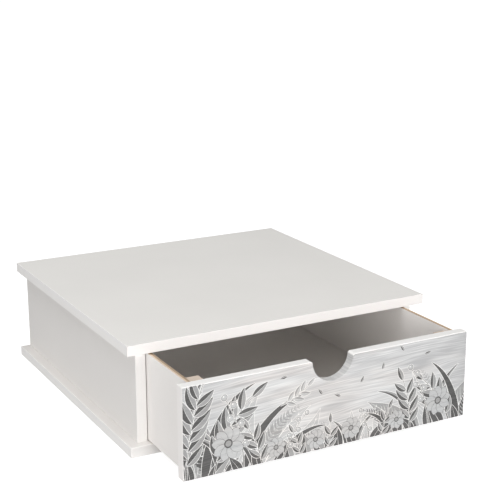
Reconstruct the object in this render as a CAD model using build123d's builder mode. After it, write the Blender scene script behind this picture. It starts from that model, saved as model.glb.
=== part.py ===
from build123d import *
import os

# A low counter stand of white-faced board with one drawer.
# Millimetres. The origin is the centre of the base board's underside, +Z is up,
# and the drawer pulls out towards -Y. The drawer is drawn partly open.

os.makedirs("parts", exist_ok=True)

# Board and strip thicknesses
board = 9.2
thin_board = 3.8
back_thickness = 3.0
bottom_thickness = 3.0
tape = 0.8
tape_round = 0.4

# Cabinet
top_width = 300.0
top_depth = 288.0
inner_height = 81.1
base_reach = 2.0
side_inset = 9.8
side_setback = 6.5
back_inset = 1.0

# Drawer
drawer_open = 77.3
closed_gap = 0.2
front_end_inset = 1.5
front_top_gap = 1.2
front_bottom_gap = 0.3
film = 0.25
film_margin = 0.3
notch_radius = 20.0
notch_round = 2.0
drawer_side_gap = 0.7
drawer_floor_gap = 0.7
drawer_rear_gap = 4.0
block_width = 11.0
right_block_drop = 3.0
bottom_lift = 3.0
side_groove = 1.8
front_groove = 4.0
groove_fit = 0.1

# Dowels that hold the top to the sides
dowel_diameter = 5.0
dowel_length = 24.0
dowel_in_top = 6.0
dowel_chamfer = 0.6
dowels_per_side = 3
dowel_from_end = 34.0

# Screws that hold the base to the sides
base_screw_diameter = 3.5
base_screw_length = 30.0
base_screw_head = 7.0
base_screws_per_side = 3
base_screw_from_end = 48.0

# Screws that hold the corner blocks to the drawer front
front_screw_diameter = 3.0
front_screw_length = 16.0
front_screw_head = 5.8
front_screws_per_block = 2
front_screw_from_end = 20.0
screw_recess_depth = 1.3
screw_recess_slot = 0.9

# Headless pins in the drawer's corners and headed nails in the back
pin_diameter = 1.2
side_pin_length = 13.0
side_pins_per_corner = 3
side_pin_from_end = 10.0
bottom_pin_length = 15.0
bottom_pins = 4
bottom_pin_from_end = 32.0
nail_diameter = 1.4
nail_length = 18.0
nail_head = 3.4
nail_head_thickness = 0.5
nails_per_side = 3
nail_from_end = 12.0

# Clearance of a fastener in its hole, and the room left beyond its tip
hole_fit = 0.05
hole_spare = 0.5

# Levels and lines that the boards share
base_depth = top_depth + base_reach
back_line = base_depth / 2
top_front = back_line - top_depth
top_middle = back_line - top_depth / 2
side_front = top_front + side_setback
back_outer = back_line - back_inset
back_inner = back_outer - back_thickness
top_underside = board + inner_height
side_span = top_width - 2 * side_inset
side_middle = side_span / 2 - board / 2
inner_half = side_span / 2 - board

# Levels and lines of the drawer
front_back_face = side_front - closed_gap - drawer_open
front_width = side_span - 2 * front_end_inset
front_height = inner_height - front_top_gap - front_bottom_gap
front_bottom = board + front_bottom_gap
drawer_top = front_bottom + front_height
drawer_outer = inner_half - drawer_side_gap
drawer_inner = drawer_outer - thin_board
drawer_foot = board + drawer_floor_gap
drawer_length = back_inner - drawer_rear_gap - side_front + closed_gap
drawer_rear = front_back_face + drawer_length
drawer_box_line = (front_back_face + drawer_rear) / 2
bottom_underside = drawer_foot + bottom_lift
bottom_top = bottom_underside + bottom_thickness
block_foot = bottom_top + groove_fit
block_tops = {"left": drawer_top, "right": drawer_top - right_block_drop}
block_middle = drawer_inner - block_width / 2
block_rear = front_back_face + board
block_line = (front_back_face + block_rear) / 2
drawer_back_line = drawer_rear - board / 2
front_plane = Plane(origin=(0, front_back_face, front_bottom), x_dir=(1, 0, 0), z_dir=(0, -1, 0))

hands = (("left", -1), ("right", 1))


def spread(first, last, count):
    """Evenly spaced positions from first to last."""
    return [first + (last - first) * i / (count - 1) for i in range(count)]


def facing_down(x, y, z):
    """A place on an underside, where a hole is drilled upwards."""
    return Location((x, y, z), (180, 0, 0))


def facing_back(x, y, z):
    """A place on a rear face, where a hole is drilled towards the front."""
    return Location((x, y, z), (-90, 0, 0))


def facing_out(x, y, z):
    """A place on the drawer's outer side face, where a hole is drilled towards the middle."""
    return Location((x, y, z), (0, 90 if x > 0 else -90, 0))


def front_outline(inset):
    """The drawer front's outline with its thumb notch, drawn in by inset all round."""
    with BuildSketch() as outline:
        with Locations((0, inset)):
            Rectangle(
                front_width - 2 * inset, front_height - 2 * inset, align=(Align.CENTER, Align.MIN)
            )
        with Locations((0, front_height)):
            Circle(notch_radius + inset, mode=Mode.SUBTRACT)
        shoulders = outline.vertices().group_by(Axis.Y)[-1].sort_by(Axis.X)[1:3]
        fillet(shoulders, notch_round - inset)
    return outline.sketch


def countersunk_screw(diameter, length, head):
    """A screw about Z, with its head's flat face at the origin and its tip below."""
    sink = (head - diameter) / 2
    tip = 1.5 * diameter
    with BuildPart() as screw:
        with BuildSketch(Plane.XZ):
            with BuildLine():
                Polyline(
                    (0, 0),
                    (head / 2, 0),
                    (diameter / 2, -sink),
                    (diameter / 2, tip - length),
                    (0, -length),
                    close=True,
                )
            make_face()
        revolve(axis=Axis.Z)
        with BuildSketch(Plane.XY):
            Rectangle(head / 2, screw_recess_slot)
            Rectangle(screw_recess_slot, head / 2)
        extrude(amount=-screw_recess_depth, mode=Mode.SUBTRACT)
    return screw.part


# Fastener places
side_run = (side_front + tape, back_inner)
dowel_rows = spread(side_run[0] + dowel_from_end, side_run[1] - dowel_from_end, dowels_per_side)
base_screw_rows = spread(
    side_run[0] + base_screw_from_end, side_run[1] - base_screw_from_end, base_screws_per_side
)
nail_levels = spread(board + nail_from_end, top_underside - nail_from_end, nails_per_side)
front_screw_levels = spread(
    block_foot + front_screw_from_end, drawer_top - front_screw_from_end, front_screws_per_block
)
side_pin_levels = spread(
    block_foot + side_pin_from_end, drawer_top - side_pin_from_end, side_pins_per_corner
)
bottom_pin_columns = spread(
    bottom_pin_from_end - drawer_inner, drawer_inner - bottom_pin_from_end, bottom_pins
)
dowel_places = [(sign * side_middle, y) for _, sign in hands for y in dowel_rows]
base_screw_places = [(sign * side_middle, y) for _, sign in hands for y in base_screw_rows]
nail_places = [(sign * side_middle, z) for _, sign in hands for z in nail_levels]
front_screw_places = [(sign * block_middle, z) for _, sign in hands for z in front_screw_levels]
side_pin_places = [(y, z) for y in (block_line, drawer_back_line) for z in side_pin_levels]

# Top board: its underside has blind holes for the dowels
with BuildPart() as top_panel:
    with BuildSketch(Plane.XY.offset(top_underside)):
        with Locations((0, top_middle)):
            Rectangle(top_width - 2 * tape, top_depth - 2 * tape)
    extrude(amount=board)
    with Locations([facing_down(x, y, top_underside) for x, y in dowel_places]):
        Hole(dowel_diameter / 2 + hole_fit, dowel_in_top + hole_spare)
top_panel.part.label = "top_panel"
export_step(top_panel.part, "parts/top_panel.step")

# Base board: countersunk holes from below, level with the sides
with BuildPart() as base_panel:
    with BuildSketch(Plane.XY):
        Rectangle(top_width - 2 * tape, base_depth - 2 * tape)
    extrude(amount=board)
    with Locations([facing_down(x, y, 0) for x, y in base_screw_places]):
        CounterSinkHole(base_screw_diameter / 2 + hole_fit, base_screw_head / 2 + hole_fit, board)
base_panel.part.label = "base_panel"
export_step(base_panel.part, "parts/base_panel.step")

# Edge tapes of the top and base: the front and back strips cover the ends of the side strips
slabs = (("top", top_underside, top_middle, top_depth), ("base", 0, 0, base_depth))
for slab, underside, middle, depth in slabs:
    for edge, sign in (("front", -1), ("back", 1)):
        with BuildPart() as long_tape:
            with BuildSketch(Plane.XY.offset(underside)):
                with Locations((0, middle + sign * (depth - tape) / 2)):
                    Rectangle(top_width, tape)
            extrude(amount=board)
            outer_face = long_tape.faces().sort_by(Axis.Y)[0 if sign < 0 else -1]
            fillet(outer_face.edges(), tape_round)
        long_tape.part.label = f"{slab}_{edge}_edge_tape"
        export_step(long_tape.part, f"parts/{slab}_{edge}_edge_tape.step")
    for hand, sign in hands:
        with BuildPart() as short_tape:
            with BuildSketch(Plane.XY.offset(underside)):
                with Locations((sign * (top_width - tape) / 2, middle)):
                    Rectangle(tape, depth - 2 * tape)
            extrude(amount=board)
            outer_face = short_tape.faces().sort_by(Axis.X)[0 if sign < 0 else -1]
            fillet(outer_face.edges().filter_by(Axis.Y), tape_round)
        short_tape.part.label = f"{slab}_{hand}_edge_tape"
        export_step(short_tape.part, f"parts/{slab}_{hand}_edge_tape.step")

for hand, sign in hands:
    # Side board: dowel holes in its upper edge, screw holes below, nail holes behind
    with BuildPart() as side_panel:
        with BuildSketch(Plane.XY.offset(board)):
            with Locations((sign * side_middle, sum(side_run) / 2)):
                Rectangle(board, side_run[1] - side_run[0])
        extrude(amount=inner_height)
        with Locations([(sign * side_middle, y, top_underside) for y in dowel_rows]):
            Hole(dowel_diameter / 2 + hole_fit, dowel_length - dowel_in_top + hole_spare)
        with Locations([facing_down(sign * side_middle, y, board) for y in base_screw_rows]):
            Hole(base_screw_diameter / 2 + hole_fit, base_screw_length - board + hole_spare)
        with Locations([facing_back(sign * side_middle, back_inner, z) for z in nail_levels]):
            Hole(nail_diameter / 2 + hole_fit, nail_length - back_thickness + hole_spare)
    side_panel.part.label = f"{hand}_side_panel"
    export_step(side_panel.part, f"parts/{hand}_side_panel.step")

    # Strip on the side board's front edge
    with BuildPart() as side_tape:
        with BuildSketch(Plane.XY.offset(board)):
            with Locations((sign * side_middle, side_front + tape / 2)):
                Rectangle(board, tape)
        extrude(amount=inner_height)
        fillet(side_tape.faces().sort_by(Axis.Y)[0].edges().filter_by(Axis.Z), tape_round)
    side_tape.part.label = f"{hand}_side_front_edge_tape"
    export_step(side_tape.part, f"parts/{hand}_side_front_edge_tape.step")

# Back panel: laid over the rear edges of the sides, between the top and the base
with BuildPart() as back_panel:
    with BuildSketch(Plane.XY.offset(board)):
        with Locations((0, (back_inner + back_outer) / 2)):
            Rectangle(side_span, back_thickness)
    extrude(amount=inner_height)
    with Locations([facing_back(x, back_outer, z) for x, z in nail_places]):
        Hole(nail_diameter / 2 + hole_fit, back_thickness)
back_panel.part.label = "back_panel"
export_step(back_panel.part, "parts/back_panel.step")

# One dowel, standing on its lower end
with BuildPart() as dowel:
    Cylinder(dowel_diameter / 2, dowel_length, align=(Align.CENTER, Align.CENTER, Align.MIN))
    chamfer(dowel.edges().filter_by(GeomType.CIRCLE), dowel_chamfer)

with BuildPart() as top_dowels:
    dowel_foot = top_underside + dowel_in_top - dowel_length
    with Locations([(x, y, dowel_foot) for x, y in dowel_places]):
        add(dowel.part)
top_dowels.part.label = "top_dowels"
export_step(top_dowels.part, "parts/top_dowels.step")

base_screw = countersunk_screw(base_screw_diameter, base_screw_length, base_screw_head)
with BuildPart() as base_screws:
    with Locations([facing_down(x, y, 0) for x, y in base_screw_places]):
        add(base_screw)
base_screws.part.label = "base_screws"
export_step(base_screws.part, "parts/base_screws.step")

# One nail, with its head standing on the origin's plane and its shank below
with BuildPart() as nail:
    Cylinder(nail_diameter / 2, nail_length, align=(Align.CENTER, Align.CENTER, Align.MAX))
    Cylinder(nail_head / 2, nail_head_thickness, align=(Align.CENTER, Align.CENTER, Align.MIN))

with BuildPart() as back_nails:
    with Locations([facing_back(x, back_outer, z) for x, z in nail_places]):
        add(nail.part)
back_nails.part.label = "back_nails"
export_step(back_nails.part, "parts/back_nails.step")

# Drawer front board: a notch above, a stopped groove for the bottom and pilot holes for the screws
with BuildPart() as drawer_front:
    with BuildSketch(front_plane):
        add(front_outline(tape))
    extrude(amount=board)
    with BuildSketch(Plane.XZ.offset(-front_back_face)):
        with Locations((0, bottom_underside - groove_fit)):
            Rectangle(
                2 * (drawer_inner + side_groove),
                bottom_thickness + 2 * groove_fit,
                align=(Align.CENTER, Align.MIN),
            )
    extrude(amount=front_groove, mode=Mode.SUBTRACT)
    with Locations([facing_back(x, front_back_face, z) for x, z in front_screw_places]):
        Hole(front_screw_diameter / 2 + hole_fit, front_screw_length - board + hole_spare)
drawer_front.part.label = "drawer_front"
export_step(drawer_front.part, "parts/drawer_front.step")

# Strip along the front's upper edge, which follows the notch
with BuildPart() as front_top_tape:
    with BuildSketch(front_plane):
        add(front_outline(0))
        add(front_outline(tape), mode=Mode.SUBTRACT)
        Rectangle(front_width, tape, align=(Align.CENTER, Align.MIN), mode=Mode.SUBTRACT)
        for _, sign in hands:
            with Locations((sign * (front_width - tape) / 2, front_height - tape)):
                Rectangle(tape, front_height, align=(Align.CENTER, Align.MAX), mode=Mode.SUBTRACT)
    extrude(amount=board)
front_top_tape.part.label = "front_top_edge_tape"
export_step(front_top_tape.part, "parts/front_top_edge_tape.step")

# Strip along the front's lower edge
with BuildPart() as front_bottom_tape:
    with BuildSketch(front_plane):
        Rectangle(front_width, tape, align=(Align.CENTER, Align.MIN))
    extrude(amount=board)
front_bottom_tape.part.label = "front_bottom_edge_tape"
export_step(front_bottom_tape.part, "parts/front_bottom_edge_tape.step")

# Printed film on the front's face
with BuildPart() as front_film:
    with BuildSketch(front_plane.offset(board)):
        add(front_outline(film_margin))
    extrude(amount=film)
front_film.part.label = "front_print_film"
export_step(front_film.part, "parts/front_print_film.step")

for hand, sign in hands:
    # Strip on the drawer front's end
    with BuildPart() as front_end_tape:
        with BuildSketch(front_plane):
            with Locations((sign * (front_width - tape) / 2, tape)):
                Rectangle(tape, front_height - 2 * tape, align=(Align.CENTER, Align.MIN))
        extrude(amount=board)
        outer_face = front_end_tape.faces().sort_by(Axis.X)[0 if sign < 0 else -1]
        fillet(outer_face.edges().filter_by(Axis.Z), tape_round)
    front_end_tape.part.label = f"front_{hand}_edge_tape"
    export_step(front_end_tape.part, f"parts/front_{hand}_edge_tape.step")

    # Thin drawer side: grooved for the bottom and pinned to the block and the back
    with BuildPart() as drawer_side:
        with BuildSketch(Plane.XY.offset(drawer_foot)):
            with Locations((sign * (drawer_outer + drawer_inner) / 2, drawer_box_line)):
                Rectangle(thin_board, drawer_length)
        extrude(amount=drawer_top - drawer_foot)
        with BuildSketch(Plane.XY.offset(bottom_underside - groove_fit)):
            with Locations((sign * (drawer_inner + side_groove / 2), drawer_box_line)):
                Rectangle(side_groove, drawer_length)
        extrude(amount=bottom_thickness + 2 * groove_fit, mode=Mode.SUBTRACT)
        with Locations([facing_out(sign * drawer_outer, y, z) for y, z in side_pin_places]):
            Hole(pin_diameter / 2 + hole_fit, thin_board)
    drawer_side.part.label = f"drawer_{hand}_side"
    export_step(drawer_side.part, f"parts/drawer_{hand}_side.step")

    # Corner block: an offcut of the thick board, glued upright behind the front. The right one is cut short.
    with BuildPart() as corner_block:
        with BuildSketch(Plane.XY.offset(block_foot)):
            with Locations((sign * block_middle, block_line)):
                Rectangle(block_width, board)
        extrude(amount=block_tops[hand] - block_foot)
        with Locations([facing_back(sign * block_middle, block_rear, z) for z in front_screw_levels]):
            CounterSinkHole(front_screw_diameter / 2 + hole_fit, front_screw_head / 2 + hole_fit, board)
        with Locations([facing_out(sign * drawer_inner, block_line, z) for z in side_pin_levels]):
            Hole(pin_diameter / 2 + hole_fit, side_pin_length - thin_board + hole_spare)
    corner_block.part.label = f"{hand}_corner_block"
    export_step(corner_block.part, f"parts/{hand}_corner_block.step")

# Drawer back: stands on the bottom between the sides
with BuildPart() as drawer_back:
    with BuildSketch(Plane.XY.offset(block_foot)):
        with Locations((0, drawer_back_line)):
            Rectangle(2 * drawer_inner, board)
    extrude(amount=drawer_top - block_foot)
    for _, sign in hands:
        with Locations([facing_out(sign * drawer_inner, drawer_back_line, z) for z in side_pin_levels]):
            Hole(pin_diameter / 2 + hole_fit, side_pin_length - thin_board + hole_spare)
    with Locations([facing_down(x, drawer_back_line, block_foot) for x in bottom_pin_columns]):
        Hole(pin_diameter / 2 + hole_fit, bottom_pin_length - bottom_thickness + hole_spare)
drawer_back.part.label = "drawer_back"
export_step(drawer_back.part, "parts/drawer_back.step")

# Drawer bottom: held in the grooves of the sides and the front
with BuildPart() as drawer_bottom:
    bottom_front = front_back_face - front_groove + groove_fit
    with BuildSketch(Plane.XY.offset(bottom_underside)):
        with Locations((0, (bottom_front + drawer_rear) / 2)):
            Rectangle(2 * (drawer_inner + side_groove - groove_fit), drawer_rear - bottom_front)
    extrude(amount=bottom_thickness)
    with Locations([facing_down(x, drawer_back_line, bottom_underside) for x in bottom_pin_columns]):
        Hole(pin_diameter / 2 + hole_fit, bottom_thickness)
drawer_bottom.part.label = "drawer_bottom"
export_step(drawer_bottom.part, "parts/drawer_bottom.step")

front_screw = countersunk_screw(front_screw_diameter, front_screw_length, front_screw_head)
with BuildPart() as front_screws:
    with Locations([facing_back(x, block_rear, z) for x, z in front_screw_places]):
        add(front_screw)
front_screws.part.label = "front_screws"
export_step(front_screws.part, "parts/front_screws.step")

# Pins through the drawer sides, flush with their outer faces
with BuildPart() as side_pins:
    for _, sign in hands:
        with Locations([facing_out(sign * drawer_outer, y, z) for y, z in side_pin_places]):
            Cylinder(pin_diameter / 2, side_pin_length, align=(Align.CENTER, Align.CENTER, Align.MAX))
side_pins.part.label = "drawer_side_pins"
export_step(side_pins.part, "parts/drawer_side_pins.step")

# Pins up through the bottom into the drawer back
with BuildPart() as bottom_pin_row:
    with Locations([facing_down(x, drawer_back_line, bottom_underside) for x in bottom_pin_columns]):
        Cylinder(pin_diameter / 2, bottom_pin_length, align=(Align.CENTER, Align.CENTER, Align.MAX))
bottom_pin_row.part.label = "drawer_bottom_pins"
export_step(bottom_pin_row.part, "parts/drawer_bottom_pins.step")
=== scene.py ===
import math
import random
import bmesh
import bpy
import numpy as np
from mathutils import Matrix, Vector
from mathutils.geometry import delaunay_2d_cdt


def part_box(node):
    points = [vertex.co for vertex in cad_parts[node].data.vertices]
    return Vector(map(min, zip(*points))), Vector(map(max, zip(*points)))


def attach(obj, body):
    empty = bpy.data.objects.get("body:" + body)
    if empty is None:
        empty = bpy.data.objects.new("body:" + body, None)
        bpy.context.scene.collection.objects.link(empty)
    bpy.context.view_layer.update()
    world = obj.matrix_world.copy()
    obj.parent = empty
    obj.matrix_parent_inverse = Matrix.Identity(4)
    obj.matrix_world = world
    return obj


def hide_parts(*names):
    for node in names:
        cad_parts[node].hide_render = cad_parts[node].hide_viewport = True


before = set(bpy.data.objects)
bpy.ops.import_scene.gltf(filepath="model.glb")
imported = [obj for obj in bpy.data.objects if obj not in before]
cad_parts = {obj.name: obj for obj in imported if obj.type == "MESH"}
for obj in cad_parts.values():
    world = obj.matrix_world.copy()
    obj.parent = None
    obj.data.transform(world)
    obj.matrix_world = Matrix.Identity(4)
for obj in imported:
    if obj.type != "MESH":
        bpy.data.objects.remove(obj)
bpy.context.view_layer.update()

# The camera stands ahead of the front left corner, a forearm above the top board,
# and looks down on the stand.
camera_place = Vector((-0.51128, -1.01739, 0.43935))
camera_turn = 28.599
camera_tilt = 15.31
camera_roll = -0.1
camera_data = bpy.data.cameras.new("camera")
camera_data.lens = 87.266
camera_data.sensor_width = 36.0
camera = bpy.data.objects.new("camera", camera_data)
camera.matrix_world = (
    Matrix.Translation(camera_place)
    @ Matrix.Rotation(math.radians(-camera_turn), 4, "Z")
    @ Matrix.Rotation(math.radians(90 - camera_tilt), 4, "X")
    @ Matrix.Rotation(math.radians(camera_roll), 4, "Z")
)
bpy.context.scene.collection.objects.link(camera)
bpy.context.scene.camera = camera

# Top, base and side boards: fibreboard with a satin white paper pressed on both faces,
# sawn to size. Their sawn edges show only as a hairline beside the strips glued over them.
mm = 0.001


class Wire:
    """One socket of a finish. Arithmetic on it adds Math nodes."""

    def __init__(self, finish, socket):
        self.finish = finish
        self.socket = socket

    def maths(self, operation, *others):
        """A Math node's result, with this socket as its first value."""
        values = dict(enumerate((self, *others)))
        return self.finish.node("Math", {"operation": operation}, values)

    def kept(self):
        """The value, kept between 0 and 1."""
        return self.finish.node("Clamp", {}, {"Value": self})

    def __add__(self, other):
        return self.maths("ADD", other)

    def __sub__(self, other):
        return self.maths("SUBTRACT", other)

    def __rsub__(self, other):
        return self.finish.node("Math", {"operation": "SUBTRACT"}, {0: other, 1: self})

    def __mul__(self, other):
        return self.maths("MULTIPLY", other)

    def __truediv__(self, other):
        return self.maths("DIVIDE", other)

    def __gt__(self, other):
        return self.maths("GREATER_THAN", other)

    def __abs__(self):
        return self.maths("ABSOLUTE")

    __radd__ = __add__
    __rmul__ = __mul__


class Finish:
    """A finish for one kind of surface, with the nodes that vary it."""

    def __init__(self, name, fixed):
        self.material = bpy.data.materials.new(name)
        self.material.use_nodes = True
        self.tree = self.material.node_tree
        self.surface = self.tree.nodes["Principled BSDF"]
        for socket, value in fixed.items():
            self.surface.inputs[socket].default_value = value

    def join(self, value, socket):
        """Links a wire to a socket, or sets the socket's own value."""
        if isinstance(value, Wire):
            self.tree.links.new(value.socket, socket)
        else:
            socket.default_value = value

    def node(self, kind, settings=None, sockets=None, output=0):
        """Adds a node of one kind, sets it, joins its sockets and gives one of its outputs."""
        made = self.tree.nodes.new("ShaderNode" + kind)
        for setting, value in (settings or {}).items():
            setattr(made, setting, value)
        for socket, value in (sockets or {}).items():
            self.join(value, made.inputs[socket])
        return Wire(self, made.outputs[output])

    def place(self):
        """Where each point of the surface lies, in metres from the stand's middle."""
        return self.node("TexCoord", output="Object")

    def facing(self, axis):
        """How far the surface faces along an axis, from -1 to 1."""
        return part_of(self, self.node("TexCoord", output="Normal"), axis)

    def feed(self, socket, value):
        """Joins a value to one of the surface's sockets."""
        self.join(value, self.surface.inputs[socket])

    def fed(self, socket):
        """What one of the surface's sockets is fed with."""
        return Wire(self, self.surface.inputs[socket].links[0].from_socket)


def screen(red, green, blue):
    """A colour as a screen shows it, 0 to 255, in the shader's linear values."""
    shares = [v / 255 for v in (red, green, blue)]
    linear = [v / 12.92 if v <= 0.04045 else ((v + 0.055) / 1.055) ** 2.4 for v in shares]
    return (*linear, 1.0)


def noise(finish, place, scale, detail=2.0):
    """Soft noise from 0 to 1, with scale features to the metre, or a number for each axis."""
    if isinstance(scale, tuple):
        place = finish.node("VectorMath", {"operation": "MULTIPLY"}, {0: place, 1: scale})
        scale = 1.0
    return finish.node("TexNoise", {}, {"Vector": place, "Scale": scale, "Detail": detail})


def between(finish, share, low, high):
    """The colour that lies share of the way from low to high."""
    return finish.node("Mix", {"data_type": "RGBA"}, {0: share, 6: low, 7: high}, 2)


def raised(finish, height, depth, strength):
    """A normal bent by height, which is depth metres from its lowest to its highest."""
    return finish.node("Bump", {}, {"Height": height, "Distance": depth, "Strength": strength})


def part_of(finish, vector, axis):
    """One axis of a place or a normal."""
    return finish.node("SeparateXYZ", {}, {"Vector": vector}, axis)


paper = (screen(231, 228, 225), screen(241, 238, 235))
# The top and base boards carry the same paper as the sides: a shade lighter on the top board as painted
# light, and a shade darker on the base board as painted shade.
top_paper_painted_light = (screen(240, 238, 234), screen(249, 247, 243))
base_paper_painted_shade = (screen(230, 227, 224), screen(240, 237, 234))
fibre = (screen(142, 120, 98), screen(200, 175, 148))
fibre_skin = screen(230, 210, 188)
satin = {"Roughness": 0.4, "Specular IOR Level": 0.45}
board_arris = 0.08 * mm


def faced_board(name, face_axis, paper_low, paper_high, core=None):
    """White paper on the faces across face_axis, and bare fibre wherever else it is cut.

    Core holds the distances of the fibre's darker middle from the stand's middle plane,
    and the width over which it pales to the skins under the paper.
    """
    finish = Finish(name, satin)
    place = finish.place()
    cut = 1 - (abs(finish.facing(face_axis)) > 0.6)
    cloud = noise(finish, place, 11.0, 3.0)
    mottle = noise(finish, place, 380.0, 4.0)
    pearl = noise(finish, place, 2400.0)
    fleck = noise(finish, place, 1500.0, 5.0)
    white = between(finish, 0.7 * cloud + 0.3 * mottle, paper_low, paper_high)
    tan = between(finish, 0.4 * mottle + 0.6 * fleck, *fibre)
    if core:
        near, far, fade = core
        reach = abs(part_of(finish, place, face_axis))
        from_middle = abs(reach - (near + far) / 2) - (far - near) / 2
        tan = between(finish, 0.85 * (from_middle / fade).kept(), tan, fibre_skin)
    finish.feed("Base Color", between(finish, cut, white, tan))
    finish.feed("Roughness", 0.34 + 0.08 * cloud + 0.06 * mottle + 0.4 * cut)
    finish.feed("Normal", raised(finish, pearl + 3 * fleck * cut, 0.02 * mm, 0.35))
    return finish


def dress(finish, *names):
    """Gives carried-over parts a finish."""
    for name in names:
        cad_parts[name].material_slots[0].material = finish.material


def soften(width, *names):
    """Takes the sharpness off a part's arrises by width, and keeps its faces flat."""
    for name in names:
        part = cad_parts[name]
        weld = part.modifiers.new("join_faces", "WELD")
        weld.merge_threshold = 0.001 * mm
        whole = part.modifiers.new("whole_faces", "DECIMATE")
        whole.decimate_type = "DISSOLVE"
        whole.angle_limit = math.radians(0.5)
        bevel = part.modifiers.new("soft_arris", "BEVEL")
        bevel.width = width
        bevel.segments = 2
        bevel.limit_method = "ANGLE"
        bevel.angle_limit = math.radians(50)
        bevel.use_clamp_overlap = False
        crease = part.modifiers.new("flat_faces", "EDGE_SPLIT")
        crease.split_angle = math.radians(20)


# The top board gets the paper painted lighter, and the base board the paper painted darker.
dress(faced_board("white_board_on_top", "Z", *top_paper_painted_light), "top_panel")
dress(faced_board("white_board_lying", "Z", *base_paper_painted_shade), "base_panel")
dress(faced_board("white_board_upright", "X", *paper), "left_side_panel", "right_side_panel")
soften(board_arris, "top_panel", "base_panel", "left_side_panel", "right_side_panel")

# Edge strips: white plastic tape, 0.8 mm thick, glued round the boards' cut edges and
# trimmed flush, with the arrises rubbed over. Faint drawing lines run along each strip.
# It is the same tape everywhere: a shade darker on the top board's front and back strips as painted
# shade, and lighter on the base's, the uprights' and the drawer front's lower strip as painted light.
tape_white_painted_light_and_shade = {
    "top": (screen(236, 232, 229), screen(245, 242, 240)),
    "base": (screen(247, 244, 241), screen(254, 252, 250)),
}


def edge_strip(name, across, low, high):
    """White tape, with fine lines along its length; across scales the noise on each axis."""
    finish = Finish(name, satin)
    lines = noise(finish, finish.place(), across, 3.0)
    cloud = noise(finish, finish.place(), 25.0)
    finish.feed("Base Color", between(finish, 0.6 * lines + 0.4 * cloud, low, high))
    finish.feed("Roughness", 0.3 + 0.12 * lines)
    finish.feed("Normal", raised(finish, lines, 0.03 * mm, 0.3))
    return finish


fine, coarse = 2200.0, 12.0
# The left and right strips of top and base are the same tape, painted lighter as painted light.
beside_white_painted_light = (screen(244, 242, 240), screen(251, 249, 247))
end_white = (screen(242, 238, 235), screen(250, 247, 245))
for slab, white in tape_white_painted_light_and_shade.items():
    strip_x = edge_strip(f"white_tape_across_{slab}", (coarse, fine, fine), *white)
    strip_y = edge_strip(f"white_tape_beside_{slab}", (fine, coarse, fine), *beside_white_painted_light)
    dress(strip_x, f"{slab}_front_edge_tape", f"{slab}_back_edge_tape")
    dress(strip_y, f"{slab}_left_edge_tape", f"{slab}_right_edge_tape")
# The uprights' front strips share the base's white, painted lighter as painted light.
strip_z = edge_strip("white_tape_upright", (fine, fine, coarse), *tape_white_painted_light_and_shade["base"])
dress(strip_z, "left_side_front_edge_tape", "right_side_front_edge_tape")
end_strip = edge_strip("white_tape_on_ends", (fine, fine, coarse), *end_white)
dress(end_strip, "front_left_edge_tape", "front_right_edge_tape")

# The drawer front's lower strip comes off the same roll as the base's, and shares its white, painted
# lighter as painted light.
dress(strip_x, "front_bottom_edge_tape")

# Back panel: thin hardboard laid over the rear edges of the sides and painted white all
# over. The mesh that it was pressed on leaves a fine weave in its outer face.
hardboard = Finish("white_hardboard", {"Roughness": 0.55, "Specular IOR Level": 0.35})
paint = (screen(226, 224, 219), screen(239, 237, 233))
mesh_pitch = 1.6 * mm
bare_arris = 0.15 * mm
place = hardboard.place()
across = part_of(hardboard, place, "X") * (2 * math.pi / mesh_pitch)
up = part_of(hardboard, place, "Z") * (2 * math.pi / mesh_pitch)
weave = across.maths("SINE") * up.maths("SINE")
outward = hardboard.facing("Y") > 0.5
hardboard.feed("Base Color", between(hardboard, noise(hardboard, place, 14.0, 4.0), *paint))
hardboard.feed("Roughness", 0.5 + 0.15 * noise(hardboard, place, 120.0, 3.0))
hardboard.feed("Normal", raised(hardboard, weave * outward, 0.06 * mm, 0.5))
dress(hardboard, "back_panel")
soften(bare_arris, "back_panel")

# Nails, pins and screws: bright wire nails through the back, headless pins in the
# drawer's corners with filler over their ends, and zinc-plated countersunk screws.


def bare_metal(name, dull, bright, rough):
    """Plain metal with a faint drawn and handled unevenness."""
    finish = Finish(name, {"Metallic": 1.0})
    tarnish = noise(finish, finish.place(), 700.0, 4.0)
    finish.feed("Base Color", between(finish, tarnish, dull, bright))
    finish.feed("Roughness", rough + 0.2 * noise(finish, finish.place(), 1800.0, 3.0))
    return finish


nail_grey = (screen(150, 148, 146), screen(196, 195, 194))
zinc_grey = (screen(176, 178, 180), screen(222, 223, 222))
dress(bare_metal("nail_steel", *nail_grey, 0.3), "back_nails", "drawer_bottom_pins")
dress(bare_metal("zinc_steel", *zinc_grey, 0.22), "base_screws", "front_screws")

filler = screen(244, 241, 238)
filler_depth = 0.6 * mm
pin_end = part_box("drawer_side_pins")[1].x
filled_pin = bare_metal("filled_pin_steel", *nail_grey, 0.3)
filled = abs(part_of(filled_pin, filled_pin.place(), "X")) > pin_end - filler_depth
filled_pin.feed("Base Color", between(filled_pin, filled, filled_pin.fed("Base Color"), filler))
filled_pin.feed("Metallic", 1 - filled)
dress(filled_pin, "drawer_side_pins")

# Dowels: beech pegs, 5 mm thick, that hold the top to the sides. They are glued in and
# hidden once the stand is together.
beech = Finish("beech", {"Roughness": 0.6})
beech_tan = (screen(190, 150, 108), screen(222, 190, 150))
grain = noise(beech, beech.place(), (900.0, 900.0, 40.0), 4.0)
beech.feed("Base Color", between(beech, grain, *beech_tan))
beech.feed("Normal", raised(beech, grain, 0.05 * mm, 0.4))
dress(beech, "top_dowels")

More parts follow.
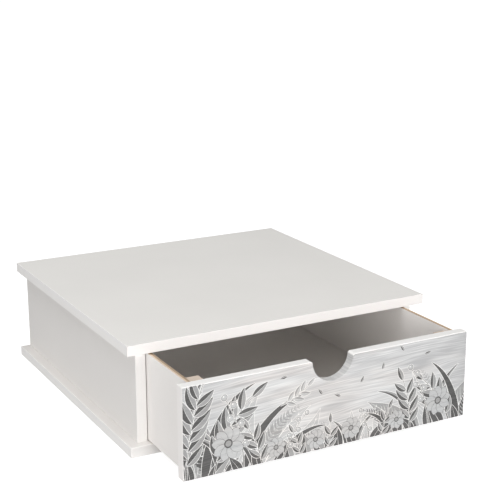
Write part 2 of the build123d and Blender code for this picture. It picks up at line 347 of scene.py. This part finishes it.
# Drawer box: two thin sides and a thin bottom of the same white-faced board, sawn and
# left bare at the edges, and a thick back. The fibre shows tan, paler under the paper.
thin_paper = (screen(238, 234, 231), screen(247, 244, 241))
drawer_arris = 0.12 * mm
inner_skin, outer_skin, skin_fade = 0.4 * mm, 1.9 * mm, 0.4 * mm
side_inner, side_outer = (corner.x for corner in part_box("drawer_right_side"))
side_core = (side_inner + inner_skin, side_outer - outer_skin, skin_fade)
side_board = faced_board("thin_board_upright", "X", *thin_paper, side_core)
dress(side_board, "drawer_left_side", "drawer_right_side")
dress(faced_board("thin_board_lying", "Z", *thin_paper), "drawer_bottom")
dress(faced_board("white_board_fronting", "Y", *paper), "drawer_front", "drawer_back")
soften(drawer_arris, "drawer_left_side", "drawer_right_side", "drawer_bottom", "drawer_back")
soften(board_arris, "drawer_front")

# Corner blocks: offcuts of the thick board's core, glued upright behind the front and
# left bare, a paler cream than the sides' sawn edges.
raw_block = Finish("raw_board", {"Roughness": 0.75, "Specular IOR Level": 0.25})
fleck = noise(raw_block, raw_block.place(), 1300.0, 5.0)
drift = noise(raw_block, raw_block.place(), 160.0, 3.0)
cream = (screen(204, 186, 169), screen(229, 214, 200))
raw_block.feed("Base Color", between(raw_block, 0.6 * fleck + 0.4 * drift, *cream))
raw_block.feed("Normal", raised(raw_block, fleck, 0.06 * mm, 0.5))
dress(raw_block, "left_corner_block", "right_corner_block")
soften(bare_arris, "left_corner_block", "right_corner_block")

# Print on the drawer front: a plastic film, glued over the whole face and cut round the
# notch. It shows whitewashed boards behind a meadow of leaves and berries in three greys.
film_low, film_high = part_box("front_print_film")
front_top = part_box("front_top_edge_tape")[1].z
film_margin = front_top - film_high.z
white_margin = 0.3 * mm
notch_radius = 20.0 * mm
shoulder = 2.0 * mm
shoulder_reach = math.sqrt((notch_radius + shoulder) ** 2 - shoulder**2)
shoulder_lean = math.degrees(math.asin(shoulder / (notch_radius + shoulder)))


def arc(centre_x, centre_z, radius, start, end, steps):
    """Points of an arc, with its angles in degrees from the drawer's right."""
    angles = [math.radians(start + (end - start) * i / steps) for i in range(steps + 1)]
    return [(centre_x + radius * math.cos(a), centre_z + radius * math.sin(a)) for a in angles]


def film_outline(inset):
    """The film's edge: square corners, and the notch with its rounded shoulders."""
    top, level = front_top - inset, front_top - shoulder
    points = [(film_low.x, film_low.z), (film_high.x, film_low.z), (film_high.x, top)]
    points += arc(shoulder_reach, level, shoulder - inset, 90, 180 - shoulder_lean, 8)
    points += arc(0, front_top, notch_radius + inset, -shoulder_lean, shoulder_lean - 180, 72)[1:-1]
    points += arc(-shoulder_reach, level, shoulder - inset, shoulder_lean, 90, 8)
    return points + [(film_low.x, top)]


# The film's upper margin is unprinted white, and the washed wood starts below it.
wood_top = film_high.z - white_margin
wood_start = [(x, min(z, wood_top)) for x, z in film_outline(film_margin)]
shapes = [("pale", film_outline(film_margin)), ("wood", wood_start)]


def draw(tone, outline):
    """Adds a shape over the earlier ones. Its points are in mm from the film's lower left corner."""
    place = [(film_low.x + x * mm, film_low.z + y * mm) for x, y in outline]
    shapes.append((tone, place))


def bent(x, y, heading, length, curl, ease=1.0, steps=20):
    """A line that sets off at heading degrees and turns by curl on its way, later for more ease."""
    line = [(x, y)]
    for i in range(steps):
        angle = math.radians(heading + curl * ((i + 0.5) / steps) ** ease)
        x += length / steps * math.cos(angle)
        y += length / steps * math.sin(angle)
        line.append((x, y))
    return line


def ribbon(line, width, left=1.0, right=1.0):
    """The outline of a stroke along line, as wide at each share of it as width says."""
    ahead, behind = [], []
    for i, (x, y) in enumerate(line):
        (x0, y0), (x1, y1) = line[max(i - 1, 0)], line[min(i + 1, len(line) - 1)]
        run = math.hypot(x1 - x0, y1 - y0)
        half = width(i / (len(line) - 1)) / 2
        nx, ny = (y0 - y1) / run * half, (x1 - x0) / run * half
        ahead.append((x - nx * right, y - ny * right))
        behind.append((x + nx * left, y + ny * left))
    return ahead + behind[::-1]


def swell(t, lean, point):
    """A leaf's width along its length, from 0 at its ends to 1.

    It is widest nearer its root for a low lean, and its ends are sharper for a high point.
    """
    return math.sin(math.pi * min(t**lean, 0.999)) ** point


def leaf(x, y, heading, length, curl, width, tone, half_tone, rim=0.45):
    """A pointed leaf with a pale rim, one darker half and a pale rib."""
    line = bent(x, y, heading, length, curl)

    def body(t):
        return 0.1 + width * swell(t, 0.8, 0.9)

    draw("pale", ribbon(line, lambda t: body(t) + 2 * rim))
    draw(tone, ribbon(line, body))
    draw(half_tone, ribbon(line, body, 0.0, 1.0))
    draw("pale", ribbon(line[:-2], lambda t: 0.08 + 0.05 * width * (1 - t)))


def stalk(line, thick, tone, rim=0.4):
    """A stem that thins towards its tip, with a pale rim."""
    draw("pale", ribbon(line, lambda t: thick * (1 - 0.7 * t) + 2 * rim))
    draw(tone, ribbon(line, lambda t: thick * (1 - 0.7 * t)))


def disc(x, y, radius, tone, points=20):
    """A round spot."""
    angles = [2 * math.pi * i / points for i in range(points)]
    draw(tone, [(x + radius * math.cos(a), y + radius * math.sin(a)) for a in angles])


def pose_on(line, share):
    """A point of a line, and the line's heading there in degrees."""
    i = min(int(share * (len(line) - 1)), len(line) - 2)
    (x0, y0), (x1, y1) = line[i], line[i + 1]
    return x0, y0, math.degrees(math.atan2(y1 - y0, x1 - x0))


def broad_leaf(x, y, heading, length, curl, width, tone):
    """A wide leaf of one tone with a drawn-out tip, a pale rim and pale ribs."""
    line = bent(x, y, heading, length, curl, 1.3, 26)

    def body(t):
        return 0.1 + width * swell(t, 0.65, 1.3)

    draw("pale", ribbon(line, lambda t: body(t) + 0.8))
    draw(tone, ribbon(line, body))
    draw("pale", ribbon(line[:-2], lambda t: 0.2 + 0.04 * width * (1 - t)))
    for i in range(9):
        share = 0.1 + 0.09 * i
        px, py, along = pose_on(line, share)
        for side in (1, -1):
            rib = bent(px, py, along + side * 42, 0.6 * body(share + 0.06), -side * 16, 1.0, 6)
            draw("pale", ribbon(rib, lambda t: 0.5 * (1 - 0.7 * t)))


def blade(x, y, heading, length, curl, width, tone, half_tone):
    """A long grass-like leaf that arches over."""
    line = bent(x, y, heading, length, curl, 1.6, 26)

    def body(t):
        rise = math.sin(math.pi * min(1.4 * t, 0.5))
        return 0.1 + width * (1 - t) ** 0.75 * (0.45 + 0.55 * rise)

    draw("pale", ribbon(line, lambda t: body(t) + 0.9))
    draw(tone, ribbon(line, body))
    draw(half_tone, ribbon(line, body, 0.0, 1.0))


def sprig(x, y, heading, length, curl, pairs, size, tone, half_tone):
    """A stem with leaves in turn on its two sides and one at its tip."""
    line = bent(x, y, heading, length, curl, 1.2, 30)
    stalk(line, 1.1, tone)
    for i in range(pairs):
        share = 0.25 + 0.68 * i / pairs
        leaf_length = size * (0.75 + 0.5 * math.sin(math.pi * share))
        for side in (1, -1):
            px, py, along = pose_on(line, share + 0.03 * side)
            leaf(px, py, along + side * 48, leaf_length, -side * 22, leaf_length * 0.36, tone, half_tone)
    px, py, along = pose_on(line, 1.0)
    leaf(px, py, along, size, 0, size * 0.34, tone, half_tone)


def fern(x, y, heading, length, curl, pairs, size, tone):
    """A frond of narrow leaflets that shorten towards its tip."""
    line = bent(x, y, heading, length, curl, 1.3, 40)
    draw("light", ribbon(line, lambda t: 2.6 * (1 - t)))
    draw(tone, ribbon(line, lambda t: 0.8 * (1 - 0.8 * t)))
    for i in range(pairs):
        share = 0.16 + 0.82 * i / pairs
        reach = size * (1 - share) ** 0.7 * min(1, 0.5 + 2 * share)
        px, py, along = pose_on(line, share)
        for side in (1, -1):
            twig = bent(px, py, along + side * 62, reach, -side * 30, 1.0, 8)
            draw(tone, ribbon(twig, lambda t: 0.1 + 0.2 * reach * swell(t, 0.7, 1.0)))


def berries(x, y, heading, length, curl, count, size, tone):
    """A stem with round berries on short stalks."""
    line = bent(x, y, heading, length, curl, 1.2, 30)
    stalk(line, 0.8, "dark")
    for i in range(count):
        px, py, along = pose_on(line, 0.3 + 0.7 * i / (count - 1))
        side = 1 if i % 2 else -1
        turn = side * 50 * (i < count - 1)
        twig = bent(px, py, along + turn, size * 1.9, -turn / 3, 1.0, 6)
        draw("dark", ribbon(twig, lambda t: 0.4))
        cx, cy = twig[-1]
        disc(cx, cy, size + 0.45, "pale")
        disc(cx, cy, size, "dark")
        disc(cx, cy, size - 0.3, tone)
        disc(cx - 0.25 * size, cy + 0.3 * size, 0.25 * size, "pale", 12)


def flower(x, y, radius, petals, tone):
    """An open flower seen from the front."""
    for i in range(petals):
        line = bent(x, y, 360 * i / petals + 12, radius, 0, 1.0, 12)

        def body(t):
            return 0.3 + 5.2 * radius / petals * swell(t, 1.3, 0.7)

        draw("dark", ribbon(line, lambda t: body(t) + 0.5))
        draw(tone, ribbon(line, body))
        draw("mid", ribbon(line[2:9], lambda t: 0.25))
    disc(x, y, 0.26 * radius, "dark")
    disc(x, y, 0.18 * radius, "mid")


chance = random.Random(7)
two_toned = 0.4
low_leaves, first_leaf, leaf_spacing = 18, 6, 15.5

# Pale undergrowth first, then ferns, blades, low leaves and sprigs over it. All of them
# are rooted below the film's lower edge.
for root, heading, length, curl, width, tone in (
    (26, 116, 78, -40, 30, "mid"), (46, 94, 82, -52, 33, "light"),
    (70, 66, 70, -44, 28, "light"), (94, 44, 56, 24, 20, "light"),
    (4, 98, 60, 28, 24, "mid"), (150, 66, 38, 30, 16, "light"),
    (170, 106, 36, -32, 15, "light"), (216, 124, 60, 28, 23, "mid"),
    (240, 98, 64, 26, 26, "light"), (264, 72, 60, -30, 24, "mid"),
    (120, 48, 34, 32, 13, "light"), (196, 128, 38, -34, 14, "light"),
):
    broad_leaf(root, -8, heading, length, curl, width, tone)
for root, heading, length, curl, pairs, size, tone in (
    (30, 122, 72, -50, 19, 17, "dark"), (66, 72, 68, -54, 18, 15, "mid"),
    (100, 58, 46, -38, 13, 10, "mid"), (142, 114, 30, 36, 9, 8, "mid"),
    (208, 126, 54, 38, 15, 12, "dark"), (252, 98, 64, 34, 17, 13, "mid"),
    (274, 76, 42, 10, 11, 10, "dark"),
):
    fern(root, -5, heading, length, curl, pairs, size, tone)
for root, heading, length, curl, width in (
    (-4, 88, 98, -34, 11.0), (9, 106, 84, -58, 10.5), (18, 84, 96, -66, 11.0),
    (34, 98, 66, 60, 9.5), (52, 70, 88, -66, 10.0), (44, 112, 60, 54, 9.0),
    (66, 106, 50, 62, 8.0), (80, 50, 62, -60, 8.0), (96, 118, 36, 62, 7.0),
    (126, 62, 34, -62, 5.5), (154, 98, 34, 52, 6.0), (162, 78, 38, -66, 6.0),
    (184, 58, 30, -52, 5.5), (200, 112, 42, 58, 7.0), (228, 110, 68, 62, 9.0),
    (240, 82, 66, -50, 9.5), (254, 114, 54, 68, 8.0), (270, 98, 72, 46, 9.5),
):
    half_tone = "mid" if chance.random() < two_toned else "dark"
    blade(root, -6, heading, length, curl, width, "dark", half_tone)
for i in range(low_leaves):
    heading = chance.uniform(52, 128)
    length = chance.uniform(20, 30)
    half_tone = "mid" if chance.random() < two_toned else "dark"
    root = leaf_spacing * i + first_leaf
    leaf(root, -7, heading, length, (heading - 90) * 0.7, length * 0.36, "dark", half_tone)
for root, heading, length, curl, pairs, size in (
    (2, 88, 88, -20, 6, 19), (26, 80, 78, -44, 5, 18), (72, 100, 42, 22, 3, 13),
    (134, 76, 28, 18, 2, 9), (218, 88, 54, 26, 4, 14), (262, 110, 60, 30, 4, 15),
    (108, 98, 28, 20, 2, 9), (188, 82, 30, -18, 2, 9),
):
    sprig(root, -5, heading, length, curl, pairs, size, "dark", "mid")
for root, heading, length, curl, count, size in (
    (54, 90, 68, 30, 6, 2.8), (90, 74, 44, -30, 5, 2.2),
    (176, 94, 30, 26, 4, 1.9), (240, 100, 62, 22, 6, 2.6),
):
    berries(root, -4, heading, length, curl, count, size, "light")
for x, y, radius, petals in (
    (40, 24, 15, 9), (122, 10, 9, 8), (157, 13, 10, 8),
    (248, 20, 13.5, 9), (84, 11, 9, 8), (204, 11, 9, 8),
):
    flower(x, y, radius, petals, "light")

# A loose twig drifts left of the notch, and a few seeds blow over the middle.
sprig(88, 47, 12, 30, 30, 3, 9, "mid", "light")
for x, y in ((128, 49), (94, 71), (146, 44), (166, 52), (188, 60), (210, 73), (232, 66)):
    leaf(x, y, chance.uniform(0, 180), 6.5, 20, 2.4, "dark", "mid", 0.2)

# The washed boards have two knots and one split, placed from the stand's middle and foot.
knots = ((-5 * mm, 46 * mm), (92 * mm, 66 * mm))
knot_length, knot_height = 26 * mm, 9 * mm
split_x, split_z = 6 * mm, 60 * mm
split_length, split_width = 20 * mm, 0.35 * mm
line_sway = 4 * mm
line_climb, climb_fade = 0.04, 0.125


def spot(across, up):
    """1 in the middle of a soft spot, and less the farther off, down to 0."""
    return (0 - (across * across + up * up)).maths("EXPONENT")


def washed_grain(finish):
    """The washed wood's lines, from 0 in a dark line to 1 in the white, bent round its knots.

    The lines climb a little to the right, most at the left. The white is cloudy, a little
    darker towards the upper right, and darker towards both ends.
    """
    place = finish.place()
    x = part_of(finish, place, "X")
    z = part_of(finish, place, "Z")
    share = x / film_high.x
    # Darker towards both ends of the film.
    end_darkening = share * share * share * share
    sway = noise(finish, place, (5.0, 1.0, 16.0))
    z = z + (sway - 0.5) * line_sway - x * (line_climb - climb_fade * x)
    core = 0.0
    for knot_x, knot_z in knots:
        near = spot((x - knot_x) / knot_length, (z - knot_z) / knot_height)
        z = z - (z - knot_z) * near * 0.75
        core = core + near * near * near
    corner = (share + 1) * (z - film_low.z) / (film_high.z - film_low.z)
    lines = finish.node("CombineXYZ", {}, {"X": x, "Z": z})
    cloud = noise(finish, place, (22.0, 1.0, 45.0))
    bands = noise(finish, lines, (6.0, 1.0, 90.0), 3.0)
    threads = noise(finish, lines, (14.0, 1.0, 560.0))
    hairs = noise(finish, lines, (30.0, 1.0, 900.0), 1.0)
    checks = noise(finish, lines, (9.0, 1.0, 330.0), 0.0)
    crack = ((checks - 0.66) * 14).kept()
    split = spot((x - split_x) / split_length, (z - split_z) / split_width)
    wash = 0.35 * cloud + 0.05 * bands + 0.26 * threads + 0.62 * hairs - 0.135
    return wash - 0.14 * core - 0.04 * corner - 0.14 * end_darkening - 0.1 * crack - 0.16 * split


def contrasted(grain, contrast):
    """The grain spread out from its middle, and kept between 0 and 1."""
    return ((grain - 0.5) * contrast + 0.5).kept()


warm = (1.0, 0.964, 0.944, 1.0)


def printed(name, dark_line, light_line, contrast):
    """A printed tone, with the washed wood's lines showing through it. It is warmest midway."""
    finish = Finish(name, {"Roughness": 0.36, "Specular IOR Level": 0.5})
    grain = washed_grain(finish)
    tint = noise(finish, finish.place(), (14.0, 1.0, 90.0), 3.0)
    outward = abs(part_of(finish, finish.place(), "X") / film_high.x)
    grey = between(finish, contrasted(grain, contrast), dark_line, light_line)
    warmed = {0: (tint - 0.28 - 0.3 * outward) * 3.5, 6: grey, 7: warm}
    tinted = finish.node("Mix", {"data_type": "RGBA", "blend_type": "MULTIPLY"}, warmed, 2)
    finish.feed("Base Color", tinted)
    finish.feed("Roughness", 0.33 + 0.1 * grain)
    return finish


tones = {
    "wood": printed("print_washed_wood", screen(177, 177, 178), screen(231, 231, 230), 2.2),
    "pale": printed("print_pale", screen(230, 229, 227), screen(246, 245, 243), 1.8),
    "light": printed("print_light_grey", screen(176, 177, 178), screen(206, 206, 205), 1.8),
    "mid": printed("print_mid_grey", screen(146, 146, 146), screen(175, 175, 174), 1.6),
    "dark": printed("print_dark_grey", screen(70, 69, 69), screen(111, 110, 109), 1.8),
}


def inlaid(name, corners, triangles, front, back):
    """A closed plate made of the triangles that one tone covers, from front to back."""
    built = bmesh.new()
    used = sorted({i for triangle in triangles for i in triangle})
    ahead = {i: built.verts.new((corners[i][0], front, corners[i][1])) for i in used}
    behind = {i: built.verts.new((corners[i][0], back, corners[i][1])) for i in used}
    sides = {(t[i], t[(i + 1) % 3]) for t in triangles for i in range(3)}
    for triangle in triangles:
        built.faces.new([ahead[i] for i in triangle])
        built.faces.new([behind[i] for i in reversed(triangle)])
    for a, b in sorted(sides):
        if (b, a) not in sides:
            built.faces.new((ahead[b], ahead[a], behind[a], behind[b]))
    mesh = bpy.data.meshes.new(name)
    built.to_mesh(mesh)
    built.free()
    piece = bpy.data.objects.new(name, mesh)
    bpy.context.scene.collection.objects.link(piece)
    return piece


def covers(outline, across, up):
    """Which of the places lie inside an outline: those that it winds round."""
    turns = np.zeros(len(across), int)
    for (x0, y0), (x1, y1) in zip(outline, outline[1:] + outline[:1]):
        side = (x1 - x0) * (up - y0) - (across - x0) * (y1 - y0)
        turns += (y0 <= up) & (up < y1) & (side > 0)
        turns -= (y1 <= up) & (up < y0) & (side < 0)
    return turns != 0


# Every outline's lines are cut where they cross, and each triangle between them goes to
# the shape drawn last over it. So the plates lie side by side, with nothing between them.
merge_gap = 0.002
points, edges = [], []
for tone, outline in shapes:
    first, count = len(points), len(outline)
    edges += [(first + i, first + (i + 1) % count) for i in range(count)]
    points += [Vector((x / mm, y / mm)) for x, y in outline]
merged = delaunay_2d_cdt(points, edges, [], 0, merge_gap, False)
corners = [(x * mm, y * mm) for x, y in merged[0]]
triangles = np.array(merged[2])
middles = np.array(corners)[triangles].mean(axis=1)
topmost = np.full(len(triangles), -1)
for order, (tone, outline) in enumerate(shapes):
    low, high = np.min(outline, axis=0), np.max(outline, axis=0)
    near = np.flatnonzero(((middles > low) & (middles < high)).all(axis=1))
    near = near[covers(outline, *middles[near].T)]
    topmost[near if order == 0 else near[topmost[near] >= 0]] = order
covered = {tone: [] for tone in tones}
for triangle, order in zip(triangles.tolist(), topmost):
    if order >= 0:
        covered[shapes[order][0]].append(triangle)
for tone, triangles in covered.items():
    plate = inlaid(f"front_print_{tone}", corners, triangles, film_low.y, film_high.y)
    plate.data.materials.append(tones[tone].material)
    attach(plate, "drawer")
    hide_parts("front_print_film")

# The drawer front's upper strip is the same tape, rubbed rounder, with its white painted lighter as
# painted light on its top face. It is bent down into the notch, where the print's washed wood goes on
# over it, a little duller for the bending.
upper_white_painted_light = (screen(249, 247, 244), screen(254, 253, 251))
bent_wood = (screen(180, 180, 180), screen(232, 231, 229))
bend_start, bend_height = front_top - 1.0 * mm, 1.5 * mm
rubbed_arris = 0.3 * mm
notch_strip = edge_strip("white_tape_over_notch", (coarse, fine, fine), *upper_white_painted_light)
bent_in = ((bend_start - part_of(notch_strip, notch_strip.place(), "Z")) / bend_height).kept()
wood = between(notch_strip, contrasted(washed_grain(notch_strip), 2.2), *bent_wood)
tape = notch_strip.fed("Base Color")
notch_strip.feed("Base Color", between(notch_strip, bent_in, tape, wood))
notch_strip.feed("Specular IOR Level", 0.2)
dress(notch_strip, "front_top_edge_tape")
soften(rubbed_arris, "front_top_edge_tape", "front_bottom_edge_tape")

# Floor and light: a plain white floor, a white sky, low wide lamps ahead of the stand and
# on its left, and a large soft one nearly overhead. The floor glows for the eye alone, so
# that it is as white as paper and still throws little light back at the sides.
floor_size, floor_gap = 40.0, 0.1 * mm
floor_grey, floor_glow = (0.59, 0.59, 0.59, 1.0), 0.82
bpy.ops.mesh.primitive_plane_add(size=floor_size, location=(0, 0, -floor_gap))
floor = bpy.context.object
floor.name = "floor"
matt = {"Base Color": floor_grey, "Roughness": 0.9, "Emission Strength": floor_glow}
pale_floor = Finish("pale_floor", matt)
pale_floor.feed("Emission Color", pale_floor.node("LightPath", output="Is Camera Ray"))
floor.data.materials.append(pale_floor.material)


stand_middle = Vector((0.0, -0.05, 0.05))
lamps = (
    ("front_lamp", Vector((0.2, -2.0, 0.35)), 1.8, 0.6, 21.3),
    ("left_lamp", Vector((-1.7, -1.1, 0.3)), 1.6, 0.6, 10.9),
    ("high_lamp", Vector((-0.5, -0.3, 1.9)), 1.6, 1.2, 17.7),
)
for name, lamp_place, width, height, power in lamps:
    lamp_data = bpy.data.lights.new(name, "AREA")
    lamp_data.shape = "RECTANGLE"
    lamp_data.size = width
    lamp_data.size_y = height
    lamp_data.energy = power
    lamp = bpy.data.objects.new(name, lamp_data)
    lamp.location = lamp_place
    lamp.rotation_euler = (stand_middle - lamp_place).to_track_quat("-Z", "Y").to_euler()
    bpy.context.scene.collection.objects.link(lamp)

sky_light, sky_seen = 0.362, 1.0
sky = bpy.data.worlds.new("white_sky")
sky.use_nodes = True
sky_nodes, sky_links = sky.node_tree.nodes, sky.node_tree.links
sky_nodes["Background"].inputs["Color"].default_value = (1.0, 1.0, 1.0, 1.0)
seen = sky_nodes.new("ShaderNodeLightPath")
sky_strength = sky_nodes.new("ShaderNodeMapRange")
sky_strength.inputs["To Min"].default_value = sky_light
sky_strength.inputs["To Max"].default_value = sky_seen
sky_links.new(seen.outputs["Is Camera Ray"], sky_strength.inputs["Value"])
sky_links.new(sky_strength.outputs["Result"], sky_nodes["Background"].inputs["Strength"])
bpy.context.scene.world = sky
bpy.context.scene.view_settings.view_transform = "Standard"
